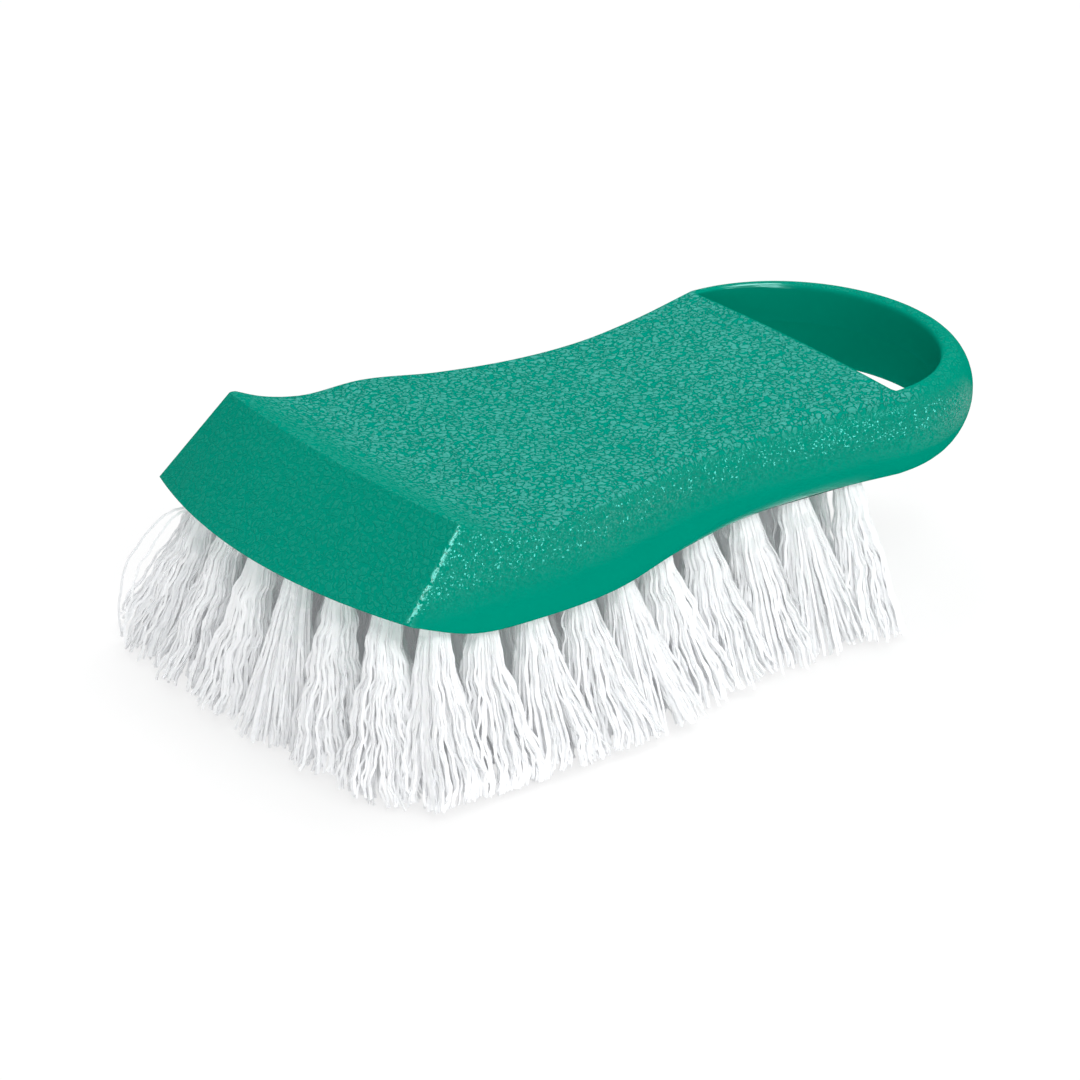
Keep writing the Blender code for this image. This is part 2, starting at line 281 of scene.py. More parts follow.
class Graph:
    """A node tree, with one method that adds any node."""

    def __init__(self, tree: bpy.types.NodeTree) -> None:
        """Empty a material's or a world's node tree."""
        self.tree = tree
        self.tree.nodes.clear()

    def node(self, kind: str, settings: dict, values: dict) -> bpy.types.Node:
        """Add a node.

        Args:
            kind: The node's type.
            settings: Its settings, which are set first.
            values: The values or links of its sockets, by name or number.

        Returns:
            The node.
        """
        node = self.tree.nodes.new(kind)
        for name, setting in settings.items():
            setattr(node, name, setting)
        for name, value in values.items():
            if isinstance(value, Signal):
                value = value.socket
            if isinstance(value, Socket):
                self.tree.links.new(value, node.inputs[name])
            else:
                node.inputs[name].default_value = value
        return node

    def vector(self, operation: str, *values: "Socket | tuple") -> bpy.types.Node:
        """Add a Vector Math node."""
        return self.node("ShaderNodeVectorMath", {"operation": operation}, dict(enumerate(values)))

    def place(self) -> Socket:
        """Where a point of the surface lies, in the piece's own coordinates."""
        return self.node("ShaderNodeTexCoord", {}, {}).outputs["Object"]

    def layer(self, name: str) -> Signal:
        """Read one of the piece's own attributes."""
        node = self.node("ShaderNodeAttribute", {"attribute_name": name}, {})
        return Signal(self, node.outputs["Fac"])

    def noise(self, place: Socket, size: float, detail: float = 2.0) -> Signal:
        """Soft noise round 0.5, whose lumps lie one size apart."""
        values = {"Vector": place, "Scale": 1 / size, "Detail": detail}
        return Signal(self, self.node("ShaderNodeTexNoise", {}, values).outputs["Fac"])

    def warped(self, place: Socket, size: float, reach: float) -> Socket:
        """Shift coordinates by a noise of their own.

        Args:
            place: The coordinates.
            size: How far apart the noise's lumps lie.
            reach: How far it shifts them.

        Returns:
            The shifted coordinates.
        """
        values = {"Vector": place, "Scale": 1 / size, "Detail": 1.0}
        lumps = self.node("ShaderNodeTexNoise", {}, values).outputs["Color"]
        centred = self.vector("SUBTRACT", lumps, (0.5,) * 3).outputs[0]
        shift = self.vector("MULTIPLY", centred, (2 * reach,) * 3).outputs[0]
        return self.vector("ADD", place, shift).outputs[0]

    def scatter(self, feature: str, place: Socket, size: float) -> bpy.types.Node:
        """Add a Voronoi node, whose scattered cells have this size."""
        return self.node("ShaderNodeTexVoronoi", {"feature": feature}, {"Vector": place, "Scale": 1 / size})

    def cells(self, place: Socket, size: float) -> Signal:
        """Distance to the nearest edge between cells: 0 on it, and about 0.5 at a cell's middle."""
        return Signal(self, self.scatter("DISTANCE_TO_EDGE", place, size).outputs["Distance"])

    def blend(self, share: Signal, first: "Socket | tuple", second: "Socket | tuple") -> Socket:
        """Blend two colours, by how much of the second shows."""
        values = {0: share, 6: first, 7: second}
        return self.node("ShaderNodeMix", {"data_type": "RGBA"}, values).outputs[2]

    def relief(self, height: Signal) -> Socket:
        """Turn a surface's height in metres into its normal."""
        values = {"Height": height, "Strength": 1.0, "Distance": 1.0}
        return self.node("ShaderNodeBump", {}, values).outputs[0]

    def principled(self, values: dict) -> Socket:
        """Add a Principled BSDF with these values or links of its sockets."""
        return self.node("ShaderNodeBsdfPrincipled", {}, values).outputs[0]

    def mixed(self, share: "Signal | Socket", first: Socket, second: Socket) -> Socket:
        """Mix two shaders, by how much of the second shows."""
        return self.node("ShaderNodeMixShader", {}, {0: share, 1: first, 2: second}).outputs[0]

    def finish(self, kind: str, shader: Socket) -> None:
        """Lead a shader to the tree's output, a node of this kind."""
        self.node(kind, {}, {"Surface": shader})


def new_material(name: str) -> tuple[bpy.types.Material, Graph]:
    """Start a material.

    Args:
        name: The material's name.

    Returns:
        The material and its empty graph.
    """
    material = bpy.data.materials.new(name)
    material.use_nodes = True
    return material, Graph(material.node_tree)


@dataclass(frozen=True)
class MouldedPlastic:
    """Green moulded plastic: leather grain on the palm face, spark grain on the nose and sides. The palm's
    raised flats carry a painted sheen in their colour, and the rims beside its creases a painted highlight.
    """

    name: str = "green_moulded_plastic"
    smooth: tuple = (0.0, 0.268, 0.182, 1.0)
    # Colour of the palm's raised flats: the plain plastic with a painted sheen on it.
    painted_sheen: tuple = (0.060, 0.390, 0.326, 1.0)
    # Painted highlight: the colour of the lit rims beside the palm's creases.
    rim_highlight: tuple = (0.100, 0.480, 0.410, 1.0)
    furrow: tuple = (0.0, 0.285, 0.200, 1.0)
    deep: tuple = (0.0, 0.200, 0.130, 1.0)
    cell_size: float = 0.00130
    warp_size: float = 0.0012
    warp_reach: float = 0.00080
    crease_width: tuple = (0.085, 0.155)
    rim_width: tuple = (0.17, 0.22, 0.34)
    contour_size: float = 0.00110
    contour_width: tuple = (0.020, 0.050)
    contour_break: float = 0.8
    break_size: float = 0.0010
    break_span: tuple = (0.40, 0.48)
    patch_size: float = 0.0026
    patch_span: tuple = (0.30, 0.62)
    patch_least: float = 0.7
    crease_depth: float = 0.00022
    pillow_width: tuple = (0.0, 0.45)
    pillow_height: float = 0.00016
    facet_size: float = 0.00027
    facet_slope: float = 0.34
    facet_lean: tuple = (0.14, -0.24)
    facet_share: float = 0.75
    facet_whole: float = 0.9
    edge_facets: float = 0.4
    bead_size: float = 0.0006
    bead_height: float = 0.00004
    bead_span: tuple = (0.36, 0.52)
    bead_gloss: float = 0.8
    cloud_size: float = 0.02
    cloud_span: tuple = (0.3, 0.7)
    cloud_share: float = 0.06
    satin: float = 0.45
    crease_satin: float = 0.15
    cloud_satin: float = 0.05
    satin_level: float = 0.0
    gloss: float = 0.15
    rim_highlight_share: float = 0.35
    edge_coat: float = 0.5
    gloss_level: float = 1.0
    gloss_tint: tuple = (0.22, 1.0, 0.95, 1.0)

    def facets(self, graph: Graph, place: Socket) -> tuple[Signal, Signal]:
        """Relief of small flat facets, each tilted its own way.

        Args:
            graph: The material's graph.
            place: The coordinates that it reads.

        Returns:
            The height in metres, and where the facets are.
        """
        cell = graph.scatter("F1", place, self.facet_size)
        draws = graph.node("ShaderNodeSeparateXYZ", {}, {0: cell.outputs["Color"]}).outputs
        across, along, lot = (Signal(graph, draws[axis]) for axis in "XYZ")
        level = (across - 0.5) * (2 * self.facet_slope) + self.facet_lean[0]
        upward = (along - 0.5) * (2 * self.facet_slope) + self.facet_lean[1]
        tilt = graph.node("ShaderNodeCombineXYZ", {}, {0: level, 1: level, 2: upward}).outputs[0]
        from_middle = graph.vector("SUBTRACT", place, cell.outputs["Position"]).outputs[0]
        height = Signal(graph, graph.vector("DOT_PRODUCT", tilt, from_middle).outputs["Value"])
        held = lot.ramp(1 - self.facet_share, 1 - self.facet_whole * self.facet_share)
        return height * held, held

    def material(self) -> bpy.types.Material:
        """Build the material.

        Returns:
            The block's material.
        """
        material, graph = new_material(self.name)
        place = graph.place()
        crease, facet, edge, sheen = (graph.layer(name) for name in LAYERS)
        twisted = graph.warped(place, self.warp_size, self.warp_reach)
        cells = graph.cells(twisted, self.cell_size)
        kept = graph.noise(place, self.break_size).ramp(*self.break_span)
        lumps = graph.noise(twisted, self.contour_size, 0.0) - 0.5
        contours = 1 - lumps.most(0 - lumps).ramp(*self.contour_width)
        worms = (1 - cells.ramp(*self.crease_width)) * kept
        worms = worms.most(contours * (1 - kept * self.contour_break)) * crease
        pillows = cells.ramp(*self.pillow_width) * crease
        clouds = graph.noise(place, self.cloud_size).ramp(*self.cloud_span)
        patches = graph.noise(place, self.patch_size).ramp(*self.patch_span)
        patches = patches * (1 - self.patch_least) + self.patch_least
        # Painted sheen: the palm's raised flats are lightened to a greyer, paler green, in random patches,
        # standing in for the reflection of a bright backdrop.
        sheen_flats = (crease - worms).most(0.0) * crease * patches
        base = graph.blend(sheen_flats, self.smooth, self.painted_sheen)
        # Painted highlight: a thin band just outside each crease is lightened, standing in for the lit
        # upper edges of the relief.
        highlight_rims = cells.ramp(*self.rim_width[:2]) - cells.ramp(*self.rim_width[1:])
        base = graph.blend(highlight_rims.most(0.0) * kept * crease * self.rim_highlight_share, base, self.rim_highlight)
        base = graph.blend(worms * crease, base, self.furrow)
        colour = graph.blend(clouds * self.cloud_share, base, self.deep)
        sparks, held = self.facets(graph, place)
        beads = graph.noise(place, self.bead_size, 0.0)
        height = sparks * (facet + edge * self.edge_facets) + beads * edge * self.bead_height
        height = height + pillows * self.pillow_height - worms * self.crease_depth
        both = {"Base Color": colour, "Normal": graph.relief(height)}
        satin = {
            "Roughness": self.satin + worms * self.crease_satin - clouds * self.cloud_satin,
            "Specular IOR Level": self.satin_level,
        }
        gloss = {
            "Roughness": self.gloss,
            "Specular IOR Level": self.gloss_level,
            "Specular Tint": self.gloss_tint,
            "Coat Weight": edge * self.edge_coat + sheen,
            "Coat Roughness": self.gloss,
        }
        share = (held * facet + beads.ramp(*self.bead_span) * edge * self.bead_gloss + sheen).least(1.0)
        shader = graph.mixed(share, graph.principled(both | satin), graph.principled(both | gloss))
        graph.finish("ShaderNodeOutputMaterial", shader)
        return material


@dataclass(frozen=True)
class Filament:
    """White translucent filament. Its faint glow stands for the light that its neighbours pass on."""

    name: str = "white_filament"
    pale: tuple = (0.955, 0.962, 0.972, 1.0)
    dull: tuple = (0.920, 0.930, 0.945, 1.0)
    inner_light: float = 0.042
    streak_size: float = 0.0016
    streak_span: tuple = (0.35, 0.75)
    streak_roughness: float = 0.2
    roughness: float = 0.38

    def material(self) -> bpy.types.Material:
        """Build the material.

        Returns:
            The filaments' material.
        """
        material, graph = new_material(self.name)
        streaks = graph.noise(graph.place(), self.streak_size)
        values = {
            "Base Color": graph.blend(streaks.ramp(*self.streak_span), self.pale, self.dull),
            "Roughness": self.roughness + (streaks - 0.5) * self.streak_roughness,
            "Emission Color": self.pale,
            "Emission Strength": self.inner_light,
        }
        graph.finish("ShaderNodeOutputMaterial", graph.principled(values))
        return material


@dataclass(frozen=True)
class GrainZones:
    """Where the block's grain and gloss lie, by place and by which way the surface faces.

    A pair of numbers is where a rise starts and how far it runs.
    """

    hole: float = 1.02
    underside: float = -0.5
    palm: tuple = (0.42, 0.3)
    nose: tuple = (0.3, 0.3)
    ridge: tuple = (0.001, 0.009)
    ridge_least: float = 0.5
    loop_fade: float = 0.010
    loop_least: float = 0.3
    nose_creases: float = 0.25
    nose_glints: float = 0.08
    glint_level: tuple = (0.28, 0.3)
    glint_facing: tuple = (0.70, 0.2)
    edge_front: tuple = (0.25, 0.1)
    edge_side: tuple = (0.3, 0.1)
    fillet: tuple = (0.35, 0.25)
    fillet_share: float = 0.7
    fillet_low: float = -0.9
    fillet_start: tuple = (0.45, 0.15)
    fillet_end: float = 0.006
    fillet_fade: float = 0.012
    rim_level: float = 0.75
    rim_tilt: float = 0.2
    rim_middle: float = 0.011
    rim_reach: float = 0.003


@dataclass
class Block:
    """The moulded block, with its slanted nose, its waist and its hanging loop."""

    finish: MouldedPlastic = field(default_factory=MouldedPlastic)
    body_length: float = 0.0956
    half_width: float = 0.0373
    height: float = 0.0155
    trim: float = 0.0250
    nose_overhang: float = 0.0131
    nose_bow: float = 0.0062
    ridge_bow: float = 0.0019
    crown: float = 0.0006
    nose_edge: float = 0.0008
    nose_round: float = 0.0012
    nose_bulge: float = 0.25
    nose_crest: float = 0.0003
    rim_edge: float = 0.0005
    loop_reach: float = 0.0309
    loop_end_rim: float = 0.0068
    loop_side_rim: float = 0.0047
    hole_edge: float = 0.0003
    loop_inner_edge: float = 0.0012
    draft: float = 0.00012
    seam: float = 0.00005
    seam_half: float = 0.00016
    shoulder_places: tuple = (0.20, 0.65)
    lower_places: tuple = (0.45, 0.95)
    bow_fade: float = 0.35
    round_width: float = 0.72
    round_height: float = 0.46
    inner_edge_limit: float = 0.24
    round_power: float = 1.7
    seam_share: float = 0.54
    seam_fade: float = 0.25
    corner_power: int = 3
    stations: int = 112
    across: int = 56
    arc_steps: int = 10
    wall_steps: int = 8
    edge_steps: int = 5
    loop_steps: int = 104
    hole_wall_steps: int = 5
    hole_edge_steps: int = 4
    socket_radius: float = 0.0025
    socket_sides: int = 28
    smooth_angle: float = 32.0
    merge: float = 0.000004
    zones: GrainZones = GrainZones()
    top_width_curve: ShareCurve = ShareCurve(
        TOP_PLACES, (0.893, 0.906, 0.909, 0.879, 0.778, 0.678, 0.657, 0.690, 0.770)
    )
    top_height_curve: ShareCurve = ShareCurve(
        TOP_PLACES, (1.220, 1.026, 0.903, 0.916, 0.870, 0.885, 0.893, 0.930, 0.982)
    )
    rim_width_curve: ShareCurve = ShareCurve(
        RIM_PLACES, (0.992, 1.0, 0.997, 0.933, 0.815, 0.760, 0.790, 0.8606)
    )
    rim_height_curve: ShareCurve = ShareCurve(
        RIM_PLACES, (0.335, 0.026, -0.045, -0.090, -0.060, -0.030, -0.010, 0.010)
    )

    def top_height(self, place: float) -> float:
        """Height of the palm face's edge."""
        return self.trim + self.height * self.top_height_curve.at(place)

    def rim_height(self, place: float) -> float:
        """Height of the underside."""
        return self.trim + self.height * self.rim_height_curve.at(place)

    def rim_width(self, place: float) -> float:
        """Half width of the side wall at its foot."""
        return self.half_width * self.rim_width_curve.at(place)

    def top_width(self, place: float) -> float:
        """Half width of the palm face."""
        return self.half_width * self.top_width_curve.at(place)

    def bow_left(self, place: float) -> float:
        """What is left of the nose's bow."""
        return 1 - grow(0.0, self.bow_fade, place)

    def top_x(self, place: float, across: float) -> float:
        """Where a point of the palm face lies along the block."""
        return self.body_length * place - self.ridge_bow * (1 - across * across) * self.bow_left(place)

    def rim_x(self, place: float, across: float) -> float:
        """Where a point of the underside lies along the block."""
        straight = mix(-self.nose_overhang, self.body_length, place)
        return straight - self.nose_bow * (1 - across * across) * self.bow_left(place)

    def quarter_round(self) -> list:
        """Pairs of inset and drop, from 0 to 1, down a quarter of a flattened ellipse."""
        turns = [0.5 * math.pi * step / self.arc_steps for step in range(1, self.arc_steps + 1)]
        return [
            (math.sin(turn) ** (2 / self.round_power), 1 - math.cos(turn) ** (2 / self.round_power))
            for turn in turns
        ]

    def side_profile(self, place: float) -> list:
        """Outline of the side wall.

        Args:
            place: Where along the block.

        Returns:
            Pairs of half width and height, from the palm face down to the underside.
        """
        top = self.top_height(place)
        foot = self.rim_height(place)
        width = self.top_width(place)
        foot_width = self.rim_width(place)
        loop_round = self.round_width * self.loop_side_rim
        loop_down = self.round_height * (top - foot)
        shoulder = grow(*self.shoulder_places, place)
        shoulder_out = mix(self.nose_edge, loop_round, shoulder)
        shoulder_down = mix(self.nose_edge, loop_down, shoulder)
        lower = grow(*self.lower_places, place)
        lower_in = mix(self.rim_edge, loop_round, lower)
        lower_up = mix(self.rim_edge, loop_down, lower)
        points = [(width, top)]
        for out, down in self.quarter_round():
            points.append((width + shoulder_out * out, top - shoulder_down * down))
        wall_top = points[-1]
        for step in range(1, self.wall_steps + 1):
            share = step / self.wall_steps
            points.append((mix(wall_top[0], foot_width, share), mix(wall_top[1], foot + lower_up, share)))
        for out, down in reversed(self.quarter_round()[:-1]):
            points.append((foot_width - lower_in * (1 - out), foot + lower_up * down))
        points.append((foot_width - lower_in, foot))
        return points

    def across_shares(self, place: float, corner: float) -> list:
        """Places across the block, drawn out to the hole's corners towards the loop.

        Args:
            place: Where along the block.
            corner: The hole's corner, as a share of the half width.

        Returns:
            Shares of the half width, from -1 to 1.
        """
        even = [2 * step / self.across - 1 for step in range(self.across + 1)]
        inner = [corner * (2 * step / (self.across - 2) - 1) for step in range(self.across - 1)]
        outer = [-1.0] + inner + [1.0]
        return [mix(a, b, place**self.corner_power) for a, b in zip(even, outer)]

    def inner_width(self) -> float:
        """Half width of the hole at its front wall."""
        return self.rim_width(1.0) - self.loop_side_rim

    def section(self, place: float) -> dict:
        """One closed section of the block.

        Args:
            place: Where along the block.

        Returns:
            The chains of points of the palm face, the underside and the two sides.
        """
        profile = self.side_profile(place)
        top = self.top_height(place)
        foot = self.rim_height(place)
        hole_corner = self.inner_width() + self.inner_edge(0.5 * math.pi)[1]
        palm = []
        for across in self.across_shares(place, hole_corner / self.top_width(1.0)):
            lift = self.crown * (1 - across * across) * grow(0.0, self.shoulder_places[0], place)
            palm.append(Vector((self.top_x(place, across), profile[0][0] * across, top + lift)))
        under = []
        for across in self.across_shares(place, hole_corner / profile[-1][0]):
            under.append(Vector((self.rim_x(place, across), profile[-1][0] * across, foot)))
        chains = {"palm": palm, "under": under}
        for side in Side:
            wall = []
            for width, height in profile[1:-1]:
                share = (height - foot) / (top - foot)
                x = mix(self.rim_x(place, 1.0), self.top_x(place, 1.0), share)
                wall.append(Vector((x, width * side.value, height)))
            chains[side] = wall
        return chains

    def ring(self, chains: dict) -> list:
        """Join a section's chains into a ring whose last point is its first."""
        palm, under = chains["palm"], chains["under"]
        return palm + chains[Side.RIGHT] + under[::-1] + chains[Side.LEFT][::-1] + palm[:1]

    def nose_point(self, across: float, down: float) -> Vector:
        """A point of the nose's slanted face, kept clear of its rounded edges.

        Args:
            across: From -1 to 1.
            down: From 0 at the ridge to 1 at the lower edge.

        Returns:
            The point.
        """
        top, foot = self.top_height(0.0), self.rim_height(0.0)
        side = 1 - self.nose_round / self.half_width
        edge = self.nose_crest / (top - foot)
        across = min(max(across, -side), side)
        down = min(max(down, edge), 1 - edge)
        width = mix(self.top_width(0.0) + self.nose_edge, self.rim_width(0.0), down)
        x = mix(self.top_x(0.0, across), self.rim_x(0.0, across), down)
        return Vector((x, width * across, mix(top, foot, down)))

    def nose_sheets(self) -> list:
        """Sheets of the nose: its rounded edge all round, and its slanted face.

        Returns:
            Lists of rows of points.
        """
        corner = self.section(0.0)
        behind = self.section(self.nose_round / self.body_length)
        top, foot = self.top_height(0.0), self.rim_height(0.0)
        even = self.across_shares(0.0, 1.0)
        downs = [(top - point.z) / (top - foot) for point in corner[Side.RIGHT]]
        face = {
            "palm": [self.nose_point(across, 0.0) for across in even],
            "under": [self.nose_point(across, 1.0) for across in even],
            Side.RIGHT: [self.nose_point(1.0, down) for down in downs],
            Side.LEFT: [self.nose_point(-1.0, down) for down in downs],
        }
        rings = [self.ring(behind), self.ring(corner), self.ring(face)]
        rounded = []
        for step in range(self.edge_steps + 1):
            turn = step / self.edge_steps
            weights = ((1 - turn) ** 2, 2 * turn * (1 - turn) * self.nose_bulge, turn**2)
            total = sum(weights)
            shares = [weight / total for weight in weights]
            rounded.append([a * shares[0] + b * shares[1] + c * shares[2] for a, b, c in zip(*rings)])
        rows = [face["palm"]]
        for down in downs:
            rows.append([self.nose_point(across, down) for across in even])
        return [rounded, rows + [face["under"]]]

    def body_sheet(self) -> list:
        """The block's skin, from behind the nose's rounded edge to the hole's front wall.

        Returns:
            Rows of points.
        """
        rows = []
        start = self.nose_round / self.body_length
        for station in range(self.stations + 1):
            chains = self.section(mix(start, 1.0, station / self.stations))
            if station == self.stations:
                for point in chains["palm"][2:-2] + chains["under"][2:-2]:
                    point.x -= self.hole_edge
            rows.append(self.ring(chains))
        return rows

    def inner_edge(self, angle: float) -> tuple:
        """The rounding of the hole's edge.

        Args:
            angle: Where along the loop, 0 at its far end.

        Returns:
            The share of the loop's rim that it takes, and its depth.
        """
        rim = mix(self.loop_side_rim, self.loop_end_rim, math.cos(angle) ** 2)
        depth = mix(self.hole_edge, self.loop_inner_edge, max(math.cos(angle), 0.0))
        share = min(depth / rim, self.inner_edge_limit)
        return share, share * rim

    def loop_point(self, angle: float, share: float, height: float, out: float = 0.0) -> Vector:
        """A point of the loop.

        Args:
            angle: Where along the loop, 0 at its far end.
            share: 0 on the hole's wall and 1 on the loop's outside.
            height: Its height.
            out: How far it stands out from there into the hole.

        Returns:
            The point.
        """
        reach = mix(self.loop_reach - self.loop_end_rim, self.loop_reach, share) - out
        width = mix(self.inner_width(), self.rim_width(1.0), share) - out
        return Vector((self.body_length + reach * math.cos(angle), width * math.sin(angle), height))

    def wall_heights(self, low: float, high: float) -> list:
        """Heights of the hole's wall, and how far each stands into the hole.

        Args:
            low: The wall's foot.
            high: The wall's top.

        Returns:
            Pairs of height and reach, with the mould's fine seam between the two drafts.
        """
        seam = mix(low, high, self.seam_share)
        pairs = []
        for step in range(self.hole_wall_steps):
            share = step / self.hole_wall_steps
            pairs.append((mix(low, seam - self.seam_half, share), self.draft * share))
        pairs.append((seam - self.seam_half, self.draft))
        pairs.append((seam, self.draft + self.seam))
        for step in range(self.hole_wall_steps + 1):
            share = step / self.hole_wall_steps
            pairs.append((mix(seam + self.seam_half, high, share), self.draft * (1 - share)))
        return pairs

    def loop_section(self, angle: float) -> list:
        """One closed section of the loop.

        Args:
            angle: Where along the loop, 0 at its far end.

        Returns:
            Points from the crest over the outside and back up the hole's wall to the crest.
        """
        top = self.top_height(1.0)
        foot = self.rim_height(1.0)
        inner = self.inner_width()
        points = []
        for width, height in self.side_profile(1.0):
            points.append(self.loop_point(angle, (width - inner) / self.loop_side_rim, height))
        share, depth = self.inner_edge(angle)
        quarter = [0.5 * math.pi * step / self.hole_edge_steps for step in range(self.hole_edge_steps + 1)]
        for turn in quarter[:-1]:
            out, down = 1 - math.sin(turn), 1 - math.cos(turn)
            points.append(self.loop_point(angle, share * out, foot + depth * down))
        fade = max(math.cos(angle), 0.0) ** self.seam_fade
        for height, out in self.wall_heights(foot + depth, top - depth):
            points.append(self.loop_point(angle, 0.0, height, out * fade))
        for turn in quarter[1:]:
            out, down = 1 - math.cos(turn), 1 - math.sin(turn)
            points.append(self.loop_point(angle, share * out, top - depth * down))
        points.append(points[0])
        return points

    def loop_sheet(self) -> list:
        """Rows of the loop's skin, from one side of the block round to the other."""
        shares = [step / self.loop_steps for step in range(self.loop_steps + 1)]
        return [self.loop_section(math.pi * (0.5 - share)) for share in shares]

    def hole_front_sheet(self) -> list:
        """Rows of the hole's straight front wall, with its rounded edge above and below.

        Returns:
            Rows of points from the underside up.
        """
        last = self.section(1.0)
        first_inner = len(self.side_profile(1.0))
        column = self.loop_section(0.5 * math.pi)[first_inner:-1]
        shares = [point.y / last["under"][-2].y for point in last["under"][1:-1]]
        rows = []
        for corner in column:
            edge = abs(corner.y) - self.inner_width()
            row = [Vector((self.body_length - edge, corner.y * share, corner.z)) for share in shares]
            row[0].x = self.body_length
            row[-1].x = self.body_length
            rows.append(row)
        return rows

    def socket_cutter(self, tufts: list) -> Piece:
        """Cylinders that cut the sockets.

        Args:
            tufts: The places of the tufts.

        Returns:
            One object that holds a cylinder for each tuft.
        """
        cutters = []
        for tuft in tufts:
            deselect()
            bpy.ops.mesh.primitive_cylinder_add(
                vertices=self.socket_sides,
                radius=self.socket_radius,
                depth=2 * tuft.depth,
                location=tuft.root,
                rotation=Vector((0, 0, 1)).rotation_difference(tuft.axis).to_euler(),
            )
            cutters.append(bpy.context.object)
        cutter = join(cutters, "socket_cutter")
        bpy.ops.object.transform_apply(location=True, rotation=True, scale=True)
        return cutter

    def paint_layers(self, piece: Piece, shift: float) -> None:
        """Write how strong the creases, facets, beaded edge and sheen are at each corner of the mesh.

        Args:
            piece: The finished block.
            shift: How far the block was moved along x.
        """
        zones = self.zones
        points = coordinates(piece)
        normals = np.zeros(len(points) * 3, np.float32)
        piece.data.vertex_normals.foreach_get("vector", normals)
        back, aside, up = normals.reshape(-1, 3).T
        x = points[:, 0] - shift
        reach = np.clip(x - self.body_length, 0, None) / (self.loop_reach - self.loop_end_rim)
        across = np.abs(points[:, 1]) / self.inner_width()
        in_hole = (x > self.body_length - self.hole_edge) & (np.hypot(reach, across) < zones.hole)
        level = rise(points[:, 2], self.trim, self.height)
        palm = rise(up, *zones.palm)
        nose = rise(-back, *zones.nose)
        edge = rise(-back, *zones.edge_front) * rise(np.abs(aside), *zones.edge_side)
        creases = palm * (1 - nose) * (zones.ridge_least + (1 - zones.ridge_least) * rise(x, *zones.ridge))
        creases = creases * np.clip(1 - (x - self.body_length) / zones.loop_fade, zones.loop_least, 1)
        creases = creases + zones.nose_creases * nose
        glints = (1 - palm) * (1 - nose) * rise(level, *zones.glint_level)
        glints = glints * rise(np.abs(aside), *zones.glint_facing) + zones.nose_glints * nose
        smooth = in_hole | (up < zones.underside)
        layers = [creases * (1 - edge), glints * (1 - edge), edge]
        layers = [np.where(smooth, 0.0, values) for values in layers]
        ahead = np.clip((self.body_length - zones.fillet_end - x) / zones.fillet_fade, 0, 1)
        fillet = zones.fillet_share * rise(-up, *zones.fillet)
        fillet = fillet * rise(x / self.body_length, *zones.fillet_start) * ahead * (up > zones.fillet_low)
        hole_rim = in_hole & (points[:, 1] > 0) & (level > zones.rim_level) & (up > zones.rim_tilt)
        from_rim = np.abs(x - self.body_length - zones.rim_middle)
        hole_rim = hole_rim * np.clip(2 - from_rim / zones.rim_reach, 0, 1)
        layers.append(np.where(in_hole, 0.0, fillet) + hole_rim)
        for name, values in zip(LAYERS, layers):
            layer = piece.data.attributes.new(name, "FLOAT", "POINT")
            layer.data.foreach_set("value", np.clip(values, 0, 1).astype(np.float32))

    def build(self, tufts: list) -> Piece:
        """Model the block and dress it.

        Args:
            tufts: The places of the tufts, whose sockets are cut into it.

        Returns:
            The block.
        """
        sheets = [*self.nose_sheets(), self.body_sheet(), self.loop_sheet(), self.hole_front_sheet()]
        piece = join([lay_sheet(rows) for rows in sheets], "block_moulding")
        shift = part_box("block")[1].x - self.body_length - self.loop_reach
        lay(piece, coordinates(piece) + np.array((shift, 0, 0)))
        close_up(piece, self.merge)
        cutter = self.socket_cutter(tufts)
        make_active(piece)
        sockets = piece.modifiers.new("sockets", "BOOLEAN")
        sockets.object = cutter
        sockets.solver = "EXACT"
        bpy.ops.object.modifier_apply(modifier=sockets.name)
        bpy.data.objects.remove(cutter, do_unlink=True)
        bpy.ops.object.shade_smooth_by_angle(angle=math.radians(self.smooth_angle))
        self.paint_layers(piece, shift)
        piece.data.materials.clear()
        piece.data.materials.append(self.finish.material())
        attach(piece, ROOT_BODY)
        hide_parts("block")
        log.info("%s: %d corners, %d faces", piece.name, len(piece.data.vertices), len(piece.data.polygons))
        return piece


@dataclass
class TuftPlace:
    """Where a packed tuft stands: its socket's mouth, its axis and how far its tips reach."""

    node: str
    root: Vector
    axis: Vector
    depth: float
    reach: float
    tip_height: float = 0.0005
    strand_sides: int = 3
    mouth_rise: float = 0.006

    @classmethod
    def of(cls, node: str) -> "TuftPlace":
        """Read a tuft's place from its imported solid.

        Args:
            node: The solid's name.

        Returns:
            Its place.
        """
        corners = {tuple(round(c, 6) for c in vertex.co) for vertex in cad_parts[node].data.vertices}
        points = np.array(sorted(corners, key=lambda corner: corner[2]))
        tips = points[points[:, 2] < cls.tip_height]
        strands = len(tips) // cls.strand_sides
        end = points[-strands:].mean(axis=0)
        upper = points[:-strands]
        half_way = 0.5 * upper[:, 2].max() + 0.5 * points[:, 2].min()
        mouth = upper[upper[:, 2] > half_way + cls.mouth_rise]
        foot = mouth.mean(axis=0)
        axis = Vector(end - foot).normalized()
        depth = (Vector(end) - Vector(foot)).length
        root = Vector(foot)
        middle = root - axis * (root.z / axis.z)
        reach = float(np.hypot(*(tips[:, :2] - np.array(middle)[:2]).T).max())
        return cls(node, root, axis, depth, reach)


